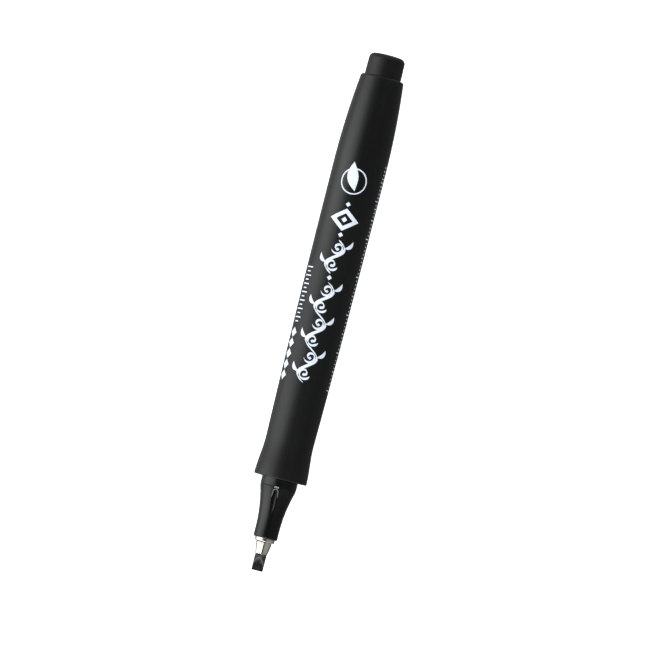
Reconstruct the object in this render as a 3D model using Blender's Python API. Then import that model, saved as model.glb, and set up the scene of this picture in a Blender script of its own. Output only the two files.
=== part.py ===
"""Calligraphy marker, cap off: barrel, tail plug, section, ferrule, nib, nib bush and ink reservoir.

The pen is modelled upright in its own local frame, with the nib's writing edge at height 0 and the
tail at the top. An empty then lays it on its side: local +Z becomes +X, towards the tail, and
local -X, the side that the first vent is nearest, becomes +Z, up. The lowest flat of its rim rests on z = 0.
"""

import math

import bmesh
import bpy
from mathutils import Matrix

MM = 0.001
SEGMENTS = 32
MERGE = 0.001 * MM
FIT = 0.05 * MM  # radial gap of a press or sliding fit
SMOOTH_ANGLE = math.radians(30)
NIB_TURN = math.radians(8)  # the nib's edge stands this far off square to the vent

# Lengths along the pen
OVERALL_LENGTH = 136.2 * MM
PLUG_SHOWN = 5.9 * MM
BARREL_LENGTH = 106.2 * MM
BAND_SHOWN = 2.2 * MM
NOSE_LENGTH = 13.4 * MM
COLLAR_SHOWN = 0.9 * MM
FERRULE_CONE = 3.2 * MM
PLUG_INSIDE = 7.8 * MM
SECTION_INSIDE = 11.5 * MM
FERRULE_INSIDE = 8.5 * MM
NIB_LENGTH = 40.0 * MM
NIB_BEVEL = 3.46 * MM

# Heights above the nib's edge
SHOULDER = OVERALL_LENGTH - PLUG_SHOWN
RIM = SHOULDER - BARREL_LENGTH
SEAM = RIM - BAND_SHOWN
SECTION_FRONT = SEAM - NOSE_LENGTH
COLLAR_FRONT = SECTION_FRONT - COLLAR_SHOWN
FERRULE_FRONT = COLLAR_FRONT - FERRULE_CONE
FERRULE_BACK = SECTION_FRONT + FERRULE_INSIDE
SECTION_BACK = RIM + SECTION_INSIDE
PLUG_FRONT = SHOULDER - PLUG_INSIDE

# Radii of the outside
RIM_RADIUS = 6.96 * MM
WAIST_RADIUS = 6.27 * MM
BULGE_RADIUS = 6.91 * MM
SHOULDER_RADIUS = 5.60 * MM
PLUG_RADIUS = 4.75 * MM
BAND_RADIUS = 4.70 * MM
NOSE_TOP_RADIUS = 4.72 * MM
NECK_RADIUS = 3.14 * MM
COLLAR_RADIUS = 2.60 * MM
CONE_TOP_RADIUS = 2.09 * MM
MOUTH_RADIUS = 1.63 * MM
NIB_RADIUS = 1.48 * MM
NIB_EDGE_HALF = 0.22 * MM

# Where the barrel's outline changes
FLARE_LENGTH = 9.9 * MM
BULGE_LOW = 104.0 * MM
BULGE_HIGH = 107.0 * MM
NECK = 11.0 * MM  # the nose is straight below this height and flares above it

# Insides
BORE_RADIUS = 4.83 * MM
RIB_COUNT = 6
RIB_WIDTH = 0.8 * MM
RIB_RADIUS = 4.45 * MM  # the ribs' inner edges lie on this circle
RIB_GAP = 0.3 * MM  # between a rib's end and the piece that stops on it
SPIGOT_RADIUS = BORE_RADIUS - FIT
SPIGOT_RELIEF = 0.16 * MM
CAVITY_RADIUS = 3.85 * MM
FERRULE_WALL = 0.15 * MM
FILM_RADIUS = RIB_RADIUS - 0.07 * MM
FILM_WALL = 0.15 * MM

# Vents in the nose
VENT_COUNT = 3
VENT_TURN = math.radians(-4.5)  # the first vent stands this far round from local -X
VENT_RADIUS = 0.75 * MM
VENT_FLOOR = 3.33 * MM  # distance from the pen's axis to a vent's floor
VENT_TOP = SEAM - 0.5 * MM
VENT_LENGTH = 9.0 * MM
AIR_HOLE_RADIUS = 0.3 * MM
AIR_HOLE_FROM_AXIS = 3.75 * MM


def material(name, colour, roughness, metallic=0.0):
    """A Principled material of one colour."""
    made = bpy.data.materials.new(name)
    made.use_nodes = True
    shader = made.node_tree.nodes["Principled BSDF"]
    shader.inputs["Base Color"].default_value = (*colour, 1.0)
    shader.inputs["Roughness"].default_value = roughness
    shader.inputs["Metallic"].default_value = metallic
    return made


def add_object(name, mesh, finish, parent):
    """Puts a mesh in the scene as a part of the pen, shaded smooth but for its sharp edges."""
    mesh.shade_smooth()
    mesh.set_sharp_from_angle(angle=SMOOTH_ANGLE)
    mesh.materials.append(finish)
    part = bpy.data.objects.new(name, mesh)
    bpy.context.scene.collection.objects.link(part)
    part.parent = parent
    return part


def turned_mesh(name, outline, segments=SEGMENTS):
    """A solid turned about local Z. outline holds (radius, height) points: a closed loop clear of the
    axis, or a run that starts and ends on it."""
    work = bmesh.new()
    points = [work.verts.new((radius, 0.0, height)) for radius, height in outline]
    edges = [work.edges.new(pair) for pair in zip(points, points[1:])]
    if outline[0][0] > 0.0:
        edges.append(work.edges.new((points[-1], points[0])))
    bmesh.ops.spin(
        work, geom=points + edges, cent=(0, 0, 0), axis=(0, 0, 1), angle=math.tau, steps=segments, use_merge=True
    )
    half_flat = Matrix.Rotation(math.pi / segments, 3, "Z")  # a flat, not an edge, faces each local axis
    bmesh.ops.rotate(work, verts=work.verts, cent=(0, 0, 0), matrix=half_flat)
    bmesh.ops.remove_doubles(work, verts=work.verts, dist=MERGE)
    bmesh.ops.recalc_face_normals(work, faces=work.faces)
    mesh = bpy.data.meshes.new(name)
    work.to_mesh(mesh)
    work.free()
    return mesh


def helper(name, mesh, parent):
    """A cutter or a piece to be joined: it shapes another object and isn't a part itself."""
    tool = bpy.data.objects.new(name, mesh)
    bpy.context.scene.collection.objects.link(tool)
    tool.parent = parent
    tool.hide_render = True
    tool.display_type = "WIRE"
    return tool


def combine(target, tool, operation):
    """Joins or cuts target with tool."""
    modifier = target.modifiers.new(f"{operation.lower()} {tool.name}", "BOOLEAN")
    modifier.operation = operation
    modifier.solver = "EXACT"
    modifier.object = tool


def fins_mesh(name, count, inner, outer, width, low, high):
    """Flat radial fins round local Z, the first one on the -X side, as one mesh of separate boxes."""
    work = bmesh.new()
    for step in range(count):
        box = bmesh.ops.create_cube(work, size=1.0)["verts"]
        bmesh.ops.scale(work, verts=box, vec=(outer - inner, width, high - low))
        bmesh.ops.translate(work, verts=box, vec=(-(inner + outer) / 2, 0, (low + high) / 2))
        turn = Matrix.Rotation(math.tau * step / count, 3, "Z")
        bmesh.ops.rotate(work, verts=box, cent=(0, 0, 0), matrix=turn)
    mesh = bpy.data.meshes.new(name)
    work.to_mesh(mesh)
    work.free()
    return mesh


def rounding(centre, radius, start, end, steps):
    """Points (radius, height) on an arc about centre, from start to end in degrees, 0 being outwards."""
    turns = [math.radians(start + (end - start) * step / steps) for step in range(steps + 1)]
    return [(centre[0] + radius * math.cos(a), centre[1] + radius * math.sin(a)) for a in turns]


def barrel_radius(height):
    """The barrel's outside: a flare at the rim, a long bow up to the bulge, and a shorter one to the shoulder."""
    waist = RIM + FLARE_LENGTH
    if height < waist:
        rise = (waist - height) / FLARE_LENGTH
        return WAIST_RADIUS + (RIM_RADIUS - WAIST_RADIUS) * rise * rise * (3 - 2 * rise)
    if height < BULGE_LOW:
        fall = (BULGE_LOW - height) / (BULGE_LOW - waist)
        return BULGE_RADIUS - (BULGE_RADIUS - WAIST_RADIUS) * fall * fall
    fall = max(0.0, height - BULGE_HIGH) / (SHOULDER - BULGE_HIGH)
    return BULGE_RADIUS - (BULGE_RADIUS - SHOULDER_RADIUS) * fall * fall


def nose_radius(height):
    """The section's outside below the seam: straight up to the neck, then a bow that opens to the seam."""
    rise = max(0.0, height - NECK) / (SEAM - NECK)
    return NECK_RADIUS + (NOSE_TOP_RADIUS - NECK_RADIUS) * rise * rise


def evenly(low, high, steps):
    """Heights from low to high."""
    return [low + (high - low) * step / steps for step in range(steps + 1)]


def make_barrel(parent, finish):
    """The outer tube: a straight bore with ribs that hold the reservoir and leave air channels beside it."""
    lip = 0.25 * MM
    edge = 0.5 * MM
    waist = RIM + FLARE_LENGTH
    heights = evenly(RIM + lip, waist, 7) + evenly(waist, BULGE_LOW, 7)[1:] + evenly(BULGE_HIGH, SHOULDER - edge, 7)
    corner = (barrel_radius(SHOULDER - edge) - edge, SHOULDER - edge)
    outline = (
        [(BORE_RADIUS, RIM)]
        + rounding((RIM_RADIUS - lip, RIM + lip), lip, -90, -30, 2)
        + [(barrel_radius(height), height) for height in heights]
        + rounding(corner, edge, 15, 90, 4)
        + [(BORE_RADIUS, SHOULDER)]
    )
    barrel = add_object("barrel", turned_mesh("barrel", outline), finish, parent)
    ribs = fins_mesh(
        "barrel_ribs",
        RIB_COUNT,
        RIB_RADIUS,
        BORE_RADIUS + 0.5 * MM,
        RIB_WIDTH,
        SECTION_BACK + RIB_GAP,
        PLUG_FRONT - RIB_GAP,
    )
    combine(barrel, helper("barrel_ribs", ribs, parent), "UNION")
    return barrel


def make_tail_plug(parent, finish):
    """A moulded cup pressed into the barrel's rear, its closed end rounded and standing out."""
    edge = 1.35 * MM
    floor = SHOULDER + 2.6 * MM
    chamfer = 0.3 * MM
    ring = 1.4 * MM
    relief = SPIGOT_RADIUS - SPIGOT_RELIEF
    outline = (
        [(0.0, floor), (CAVITY_RADIUS - 0.5 * MM, floor), (CAVITY_RADIUS, floor - 0.5 * MM)]
        + [(CAVITY_RADIUS, PLUG_FRONT), (SPIGOT_RADIUS - chamfer, PLUG_FRONT)]
        + [(SPIGOT_RADIUS, PLUG_FRONT + chamfer), (SPIGOT_RADIUS, PLUG_FRONT + ring)]
        + [(relief, PLUG_FRONT + ring + SPIGOT_RELIEF), (relief, SHOULDER - ring - SPIGOT_RELIEF)]
        + [(SPIGOT_RADIUS, SHOULDER - ring), (SPIGOT_RADIUS, SHOULDER - chamfer)]
        + [(PLUG_RADIUS, SHOULDER)]
        + rounding((PLUG_RADIUS - 0.05 * MM - edge, OVERALL_LENGTH - edge), edge, 0, 90, 6)
        + [(0.0, OVERALL_LENGTH)]
    )
    return add_object("tail_plug", turned_mesh("tail_plug", outline), finish, parent)


def make_section(parent, finish):
    """The nose that holds the ferrule: a bowed cone, a band, and a spigot pressed into the barrel."""
    edge = 0.4 * MM
    groove = 0.12 * MM
    chamfer = 0.3 * MM
    ring = 1.8 * MM
    relief = SPIGOT_RADIUS - SPIGOT_RELIEF
    ferrule_seat = COLLAR_RADIUS + FIT
    guide = 2.0 * MM
    cavity_front = RIM - 0.9 * MM
    spigot_front = RIM + 0.4 * MM
    heights = [SECTION_FRONT + edge, NECK] + evenly(NECK, SEAM - groove, 8)[1:]
    outline = (
        [(ferrule_seat, SECTION_FRONT)]
        + rounding((nose_radius(SECTION_FRONT) - edge, SECTION_FRONT + edge), edge, -90, -25, 3)
        + [(nose_radius(height), height) for height in heights]
        + [(NOSE_TOP_RADIUS - groove, SEAM), (BAND_RADIUS - groove, SEAM + groove)]
        + [(BAND_RADIUS, SEAM + 2 * groove), (BAND_RADIUS, spigot_front)]
        + [(SPIGOT_RADIUS, spigot_front + SPIGOT_RELIEF), (SPIGOT_RADIUS, spigot_front + ring)]
        + [(relief, spigot_front + ring + SPIGOT_RELIEF), (relief, SECTION_BACK - ring - SPIGOT_RELIEF)]
        + [(SPIGOT_RADIUS, SECTION_BACK - ring), (SPIGOT_RADIUS, SECTION_BACK - chamfer)]
        + [(SPIGOT_RADIUS - chamfer, SECTION_BACK), (CAVITY_RADIUS, SECTION_BACK)]
        + [(CAVITY_RADIUS, cavity_front + CAVITY_RADIUS - guide), (guide, cavity_front)]
        + [(guide, FERRULE_BACK + FIT), (ferrule_seat, FERRULE_BACK + FIT)]
    )
    section = add_object("section", turned_mesh("section", outline), finish, parent)
    cut_vents(section, parent, cavity_front)
    nib_ribs = fins_mesh(
        "section_ribs",
        4,
        NIB_RADIUS + 0.15 * MM,
        CAVITY_RADIUS + 0.4 * MM,
        0.7 * MM,
        cavity_front + 3.0 * MM,
        SECTION_BACK - 2.0 * MM,
    )
    combine(section, helper("section_ribs", nib_ribs, parent), "UNION")
    return section


def cut_vents(section, parent, cavity_front):
    """Round-ended flutes that run out down the cone, each with an air hole on into the cavity behind it."""
    centre = VENT_FLOOR + VENT_RADIUS
    crown = VENT_TOP - VENT_RADIUS
    flute = rounding((0.0, crown), VENT_RADIUS, 90, 0, 5) + [(VENT_RADIUS, VENT_TOP - VENT_LENGTH)]
    flute[0] = (0.0, VENT_TOP)
    flute.append((0.0, VENT_TOP - VENT_LENGTH))
    hole = [(0.0, cavity_front + 2.5 * MM), (AIR_HOLE_RADIUS, cavity_front + 2.5 * MM)]
    hole += [(AIR_HOLE_RADIUS, crown), (0.0, crown)]
    for number in range(VENT_COUNT):
        turn = math.pi + VENT_TURN + math.tau * number / VENT_COUNT
        for kind, outline, away, sides in (
            ("flute", flute, centre, 20),
            ("air_hole", hole, AIR_HOLE_FROM_AXIS, 12),
        ):
            name = f"{kind}_{number + 1}"
            tool = helper(name, turned_mesh(name, outline, sides), parent)
            tool.location = (away * math.cos(turn), away * math.sin(turn), 0.0)
            tool.rotation_euler = (0.0, 0.0, turn)
            combine(section, tool, "DIFFERENCE")


def make_ferrule(parent, finish):
    """A drawn metal sleeve: a cone round the nib, a step, and a tube pressed into the section."""
    step = 0.15 * MM
    inner_tube = COLLAR_RADIUS - FERRULE_WALL
    outline = [
        (MOUTH_RADIUS - 0.12 * MM, FERRULE_FRONT),
        (MOUTH_RADIUS, FERRULE_FRONT + 0.05 * MM),
        (CONE_TOP_RADIUS, COLLAR_FRONT),
        (COLLAR_RADIUS - 2 * step, COLLAR_FRONT),
        (COLLAR_RADIUS - step / 2, COLLAR_FRONT + step / 2),
        (COLLAR_RADIUS, COLLAR_FRONT + 2 * step),
        (COLLAR_RADIUS, FERRULE_BACK),
        (inner_tube, FERRULE_BACK),
        (inner_tube, COLLAR_FRONT + 2 * step),
        (inner_tube - step, COLLAR_FRONT + step),
        (CONE_TOP_RADIUS - FERRULE_WALL, COLLAR_FRONT + step),
    ]
    return add_object("ferrule", turned_mesh("ferrule", outline), finish, parent)


def make_nib_bush(parent, finish):
    """The plastic bush that centres the nib in the ferrule's tube."""
    chamfer = 0.2 * MM
    inner = NIB_RADIUS + FIT
    outer = COLLAR_RADIUS - FERRULE_WALL - FIT
    front = SECTION_FRONT + 0.6 * MM
    back = FERRULE_BACK - 0.4 * MM
    outline = [
        (inner + chamfer, front),
        (outer - chamfer, front),
        (outer, front + chamfer),
        (outer, back),
        (inner + chamfer, back),
        (inner, back - chamfer),
        (inner, front + chamfer),
    ]
    return add_object("nib_bush", turned_mesh("nib_bush", outline), finish, parent)


def make_nib(parent, finish):
    """A fibre rod with two flats that meet in the writing edge, and a pointed back end in the reservoir."""
    point = 2.2 * MM
    outline = [
        (0.0, 0.0),
        (NIB_RADIUS, 0.0),
        (NIB_RADIUS, NIB_LENGTH - point),
        (0.55 * NIB_RADIUS, NIB_LENGTH),
        (0.0, NIB_LENGTH),
    ]
    mesh = turned_mesh("nib", outline)
    work = bmesh.new()
    work.from_mesh(mesh)
    slope = math.atan2(NIB_RADIUS - NIB_EDGE_HALF, NIB_BEVEL)
    for side in (-1, 1):
        cut = bmesh.ops.bisect_plane(
            work,
            geom=work.verts[:] + work.edges[:] + work.faces[:],
            plane_co=(side * NIB_RADIUS, 0.0, NIB_BEVEL),
            plane_no=(side * math.cos(slope), 0.0, -math.sin(slope)),
            clear_outer=True,
        )
        rim = [item for item in cut["geom_cut"] if isinstance(item, bmesh.types.BMEdge)]
        bmesh.ops.contextual_create(work, geom=rim)
    bmesh.ops.recalc_face_normals(work, faces=work.faces)
    work.to_mesh(mesh)
    work.free()
    nib = add_object("nib", mesh, finish, parent)
    nib.rotation_euler = (0.0, 0.0, NIB_TURN)
    return nib


def make_reservoir(parent, fibre_finish, film_finish):
    """The ink-soaked fibre bundle, with a socket for the nib's back end, and the film tube wrapped round it."""
    front = SECTION_BACK + RIB_GAP
    back = PLUG_FRONT - RIB_GAP
    inner_film = FILM_RADIUS - FILM_WALL
    bundle = inner_film - FIT
    socket = NIB_RADIUS + FIT
    socket_end = NIB_LENGTH + 0.3 * MM
    film_outline = [(inner_film, front), (FILM_RADIUS, front), (FILM_RADIUS, back), (inner_film, back)]
    chamfer = 0.4 * MM
    bundle_outline = [
        (0.0, socket_end),
        (socket, socket_end),
        (socket, front + 0.2 * MM),
        (bundle - chamfer, front + 0.2 * MM),
        (bundle, front + 0.2 * MM + chamfer),
        (bundle, back - 0.2 * MM - chamfer),
        (bundle - chamfer, back - 0.2 * MM),
        (0.0, back - 0.2 * MM),
    ]
    add_object("reservoir_film", turned_mesh("reservoir_film", film_outline), film_finish, parent)
    add_object("reservoir_fibre", turned_mesh("reservoir_fibre", bundle_outline), fibre_finish, parent)


def lay_down():
    """The empty that lays the upright pen on its side, centred over the origin."""
    pen = bpy.data.objects.new("pen", None)
    bpy.context.scene.collection.objects.link(pen)
    pen.rotation_euler = (0.0, math.pi / 2, 0.0)
    pen.location = (-OVERALL_LENGTH / 2, 0.0, RIM_RADIUS * math.cos(math.pi / SEGMENTS))
    return pen


def main():
    for old in list(bpy.data.objects):
        bpy.data.objects.remove(old)
    pen = lay_down()
    make_barrel(pen, material("barrel_black", (0.012, 0.012, 0.013), 0.55))
    make_tail_plug(pen, material("plug_black", (0.012, 0.012, 0.012), 0.45))
    make_section(pen, material("section_black", (0.010, 0.010, 0.011), 0.35))
    make_ferrule(pen, material("ferrule_nickel", (0.70, 0.66, 0.60), 0.18, 1.0))
    make_nib_bush(pen, material("bush_white", (0.75, 0.75, 0.73), 0.45))
    make_nib(pen, material("nib_fibre", (0.035, 0.036, 0.037), 0.85))
    fibre = material("inked_fibre", (0.02, 0.02, 0.024), 0.9)
    film = material("clear_film", (0.62, 0.64, 0.66), 0.25)
    make_reservoir(pen, fibre, film)


main()
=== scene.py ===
"""Looks of the calligraphy marker: fine surfaces, materials, print, light and camera round its model.

The pen lies along X with its nib at -X. A place on it is a height above the nib's writing edge, an
angle round the pen from straight up, positive towards +Y, and a radius. Everything is in metres.
"""

import math

import bmesh
import bpy
from mathutils import Matrix, Vector, noise


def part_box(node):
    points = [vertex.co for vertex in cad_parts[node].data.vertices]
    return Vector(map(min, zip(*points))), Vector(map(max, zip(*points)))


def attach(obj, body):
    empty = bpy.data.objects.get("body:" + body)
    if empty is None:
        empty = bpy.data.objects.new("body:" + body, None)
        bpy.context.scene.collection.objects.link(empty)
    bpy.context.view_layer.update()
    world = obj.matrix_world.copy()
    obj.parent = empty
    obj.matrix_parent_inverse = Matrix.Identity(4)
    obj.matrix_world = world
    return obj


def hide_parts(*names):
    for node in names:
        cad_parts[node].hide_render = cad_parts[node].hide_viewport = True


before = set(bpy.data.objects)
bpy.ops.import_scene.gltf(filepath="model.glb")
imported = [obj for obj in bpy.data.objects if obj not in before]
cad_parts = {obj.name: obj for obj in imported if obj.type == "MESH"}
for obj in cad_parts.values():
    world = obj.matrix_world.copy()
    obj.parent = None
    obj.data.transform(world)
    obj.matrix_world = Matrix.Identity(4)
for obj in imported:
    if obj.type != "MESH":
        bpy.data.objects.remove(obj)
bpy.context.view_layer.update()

MM = 0.001
SEGMENTS = 144
FINE_SEGMENTS = 96  # on pieces under 9 mm across
LAP_SEGMENTS = 360  # on the ferrule, to hold its seam
SHARP = math.radians(35)

# Places along the pen, from the CAD
boxes = {name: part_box(name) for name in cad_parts}
TIP_X = boxes["nib"][0].x
AXIS_Z = (boxes["barrel"][0].z + boxes["barrel"][1].z) / 2
RIM_RADIUS = (boxes["barrel"][1].y - boxes["barrel"][0].y) / 2
RIM = boxes["barrel"][0].x - TIP_X
SHOULDER = boxes["barrel"][1].x - TIP_X
PLUG_FRONT = boxes["tail_plug"][0].x - TIP_X
PLUG_END = boxes["tail_plug"][1].x - TIP_X
SECTION_FRONT = boxes["section"][0].x - TIP_X
SECTION_BACK = boxes["section"][1].x - TIP_X
FERRULE_FRONT = boxes["ferrule"][0].x - TIP_X
FERRULE_BACK = boxes["ferrule"][1].x - TIP_X
BUSH_FRONT = boxes["nib_bush"][0].x - TIP_X
BUSH_BACK = boxes["nib_bush"][1].x - TIP_X
NIB_LENGTH = boxes["nib"][1].x - TIP_X
FILM_FRONT = boxes["reservoir_film"][0].x - TIP_X
FILM_BACK = boxes["reservoir_film"][1].x - TIP_X
FIBRE_FRONT = boxes["reservoir_fibre"][0].x - TIP_X
FIBRE_BACK = boxes["reservoir_fibre"][1].x - TIP_X
SEAM = RIM - 2.2 * MM
COLLAR_FRONT = SECTION_FRONT - 0.9 * MM

# The barrel's outline
WAIST = RIM + 9.9 * MM
WAIST_RADIUS = 6.27 * MM
BULGE_LOW = 104.0 * MM
BULGE_HIGH = 107.0 * MM
BULGE_RADIUS = 6.91 * MM
SHOULDER_RADIUS = 5.60 * MM

# The section's outline
NECK = 11.0 * MM
NECK_RADIUS = 3.14 * MM
NOSE_TOP_RADIUS = 4.72 * MM
BAND_RADIUS = 4.70 * MM

# Bores, spigots and what sits in them
BORE_RADIUS = 4.83 * MM
FIT = 0.05 * MM
SPIGOT_RADIUS = BORE_RADIUS - FIT
SPIGOT_RELIEF = 0.16 * MM
CAVITY_RADIUS = 3.85 * MM
GUIDE_RADIUS = 2.0 * MM  # of the hole that leads the nib into the ferrule
GUIDE_COUNT = 4
GUIDE_WIDTH = 0.7 * MM
PLUG_RADIUS = 4.75 * MM
COLLAR_RADIUS = 2.60 * MM
CONE_TOP_RADIUS = 2.09 * MM
MOUTH_RADIUS = 1.63 * MM
SHEET = 0.15 * MM  # the ferrule's and the film's thickness
NIB_RADIUS = 1.50 * MM
NIB_BEVEL = 3.46 * MM
NIB_EDGE_HALF = 0.22 * MM
NIB_TURN = math.radians(-8)
FILM_RADIUS = 4.38 * MM
RIB_COUNT = 6
RIB_WIDTH = 0.8 * MM
RIB_RADIUS = 4.45 * MM

# Vents
VENT_COUNT = 3
VENT_TURN = math.radians(4.5)
VENT_RADIUS = 0.75 * MM
VENT_FLOOR = 3.33 * MM
VENT_TOP = SEAM - 0.5 * MM
VENT_LENGTH = 9.0 * MM
AIR_HOLE_RADIUS = 0.3 * MM
AIR_HOLE_FROM_AXIS = 3.75 * MM


# ---------------------------------------------------------------- shapes


def place(height, turn, radius):
    """The point at a height along the pen, an angle round it and a distance from its axis."""
    return Vector((TIP_X + height, radius * math.sin(turn), AXIS_Z + radius * math.cos(turn)))


def rounding(centre, radius, start, end, steps=8):
    """Points (radius, height) on an arc about centre, from start to end in degrees, 0 being outwards."""
    turns = [math.radians(start + (end - start) * step / steps) for step in range(steps + 1)]
    return [(centre[0] + radius * math.cos(a), centre[1] + radius * math.sin(a)) for a in turns]


def evenly(low, high, steps):
    """Values from low to high."""
    return [low + (high - low) * step / steps for step in range(steps + 1)]


def to_object(work, name, material):
    """Makes an object of a bmesh, smooth but for its sharp edges."""
    bmesh.ops.recalc_face_normals(work, faces=work.faces)
    mesh = bpy.data.meshes.new(name)
    work.to_mesh(mesh)
    work.free()
    mesh.shade_smooth()
    mesh.set_sharp_from_angle(angle=SHARP)
    if material:
        mesh.materials.append(material)
    made = bpy.data.objects.new(name, mesh)
    bpy.context.scene.collection.objects.link(made)
    return made


def revolve(name, outline, material=None, segments=SEGMENTS, away=0.0, turn=0.0):
    """A solid turned about a line along the pen, which lies at a distance and an angle from its axis.
    outline holds (radius, height) points: a closed loop, or a run that starts and ends on the line."""
    work = bmesh.new()
    across, up = away * math.sin(turn), away * math.cos(turn)
    rings = []
    for radius, height in outline:
        turns = [math.tau * step / segments for step in range(segments if radius else 1)]
        points = [place(height, angle, radius) + Vector((0.0, across, up)) for angle in turns]
        rings.append([work.verts.new(point) for point in points])
    pairs = list(zip(rings, rings[1:]))
    if len(rings[0]) > 1:
        pairs.append((rings[-1], rings[0]))
    for lower, upper in pairs:
        for step in range(segments):
            after = (step + 1) % segments
            corners = [lower[step % len(lower)], lower[after % len(lower)]]
            corners += [upper[after % len(upper)], upper[step % len(upper)]]
            work.faces.new(list(dict.fromkeys(corners)))
    return to_object(work, name, material)


def fins(name, count, inner, outer, width, low, high, turn=0.0):
    """Flat radial fins round the pen's axis."""
    work = bmesh.new()
    for number in range(count):
        box = bmesh.ops.create_cube(work, size=1.0)["verts"]
        bmesh.ops.scale(work, verts=box, vec=(high - low, width, outer - inner))
        bmesh.ops.translate(work, verts=box, vec=((low + high) / 2, 0, (inner + outer) / 2))
        angle = Matrix.Rotation(turn + math.tau * number / count, 3, "X")
        bmesh.ops.rotate(work, verts=box, cent=(0, 0, 0), matrix=angle)
        bmesh.ops.translate(work, verts=box, vec=(TIP_X, 0, AXIS_Z))
    return to_object(work, name, None)


def combine(target, operation, tools):
    """Joins or cuts target with the tools, bakes the result into its mesh and removes the tools."""
    for tool in tools:
        modifier = target.modifiers.new(tool.name, "BOOLEAN")
        modifier.operation = operation
        modifier.solver = "EXACT"
        modifier.object = tool
    graph = bpy.context.evaluated_depsgraph_get()
    baked = bpy.data.meshes.new_from_object(target.evaluated_get(graph))
    target.modifiers.clear()
    target.data = baked
    for tool in tools:
        bpy.data.objects.remove(tool)
    baked.shade_smooth()
    baked.set_sharp_from_angle(angle=SHARP)


def barrel_radius(height):
    """The barrel's outside: a flare at the rim, a long bow to the bulge, a shorter one to the shoulder."""
    if height < WAIST:
        rise = (WAIST - height) / (WAIST - RIM)
        return WAIST_RADIUS + (RIM_RADIUS - WAIST_RADIUS) * rise * rise * (3 - 2 * rise)
    if height < BULGE_LOW:
        fall = (BULGE_LOW - height) / (BULGE_LOW - WAIST)
        return BULGE_RADIUS - (BULGE_RADIUS - WAIST_RADIUS) * fall * fall
    fall = max(0.0, height - BULGE_HIGH) / (SHOULDER - BULGE_HIGH)
    return BULGE_RADIUS - (BULGE_RADIUS - SHOULDER_RADIUS) * fall * fall


def nose_radius(height):
    """The section's outside below the seam: straight up to the neck, then a bow that opens to the seam."""
    rise = max(0.0, height - NECK) / (SEAM - NECK)
    return NECK_RADIUS + (NOSE_TOP_RADIUS - NECK_RADIUS) * rise * rise


def make_barrel(plastic):
    """The outer tube with the ribs in its bore."""
    lip = 0.22 * MM
    edge = 0.5 * MM
    inner_edge = 0.12 * MM
    corner = (barrel_radius(SHOULDER - edge) - edge, SHOULDER - edge)
    heights = evenly(RIM + lip, WAIST, 16) + evenly(WAIST, BULGE_LOW, 24)[1:]
    heights += evenly(BULGE_HIGH, SHOULDER - edge, 16)
    outline = rounding((BORE_RADIUS + inner_edge, RIM + inner_edge), inner_edge, -180, -90, 4)
    outline += rounding((RIM_RADIUS - lip, RIM + lip), lip, -90, -10, 8)
    outline += [(barrel_radius(height), height) for height in heights]
    outline += rounding(corner, edge, 8, 90, 8)
    outline += rounding((BORE_RADIUS + inner_edge, SHOULDER - inner_edge), inner_edge, 90, 180, 4)
    barrel = revolve("barrel_shell", outline, plastic)
    root = BORE_RADIUS + 0.4 * MM
    inset = 0.01 * MM
    ribs = fins("ribs", RIB_COUNT, RIB_RADIUS, root, RIB_WIDTH, FILM_FRONT + inset, FILM_BACK - inset)
    combine(barrel, "UNION", [ribs])
    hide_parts("barrel")
    return barrel


def make_tail_plug(plastic):
    """The cup that closes the rear, with a fine moulding witness on its flat end."""
    edge = 1.35 * MM
    floor = SHOULDER + 2.6 * MM
    chamfer = 0.3 * MM
    ring = 1.4 * MM
    relief = SPIGOT_RADIUS - SPIGOT_RELIEF
    witness = 0.55 * MM
    dip = 0.06 * MM
    outline = [(0.0, floor), (CAVITY_RADIUS - 0.5 * MM, floor), (CAVITY_RADIUS, floor - 0.5 * MM)]
    outline += [(CAVITY_RADIUS, PLUG_FRONT), (SPIGOT_RADIUS - chamfer, PLUG_FRONT)]
    outline += [(SPIGOT_RADIUS, PLUG_FRONT + chamfer), (SPIGOT_RADIUS, PLUG_FRONT + ring)]
    outline += [(relief, PLUG_FRONT + ring + SPIGOT_RELIEF), (relief, SHOULDER - ring - SPIGOT_RELIEF)]
    outline += [(SPIGOT_RADIUS, SHOULDER - ring), (SPIGOT_RADIUS, SHOULDER - chamfer)]
    outline += [(PLUG_RADIUS, SHOULDER)]
    outline += rounding((PLUG_RADIUS - 0.05 * MM - edge, PLUG_END - edge), edge, 2, 90, 14)
    outline += [(witness + dip, PLUG_END), (witness, PLUG_END - dip), (0.0, PLUG_END - dip)]
    plug = revolve("tail_plug_cap", outline, plastic)
    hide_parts("tail_plug")
    return plug


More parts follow.
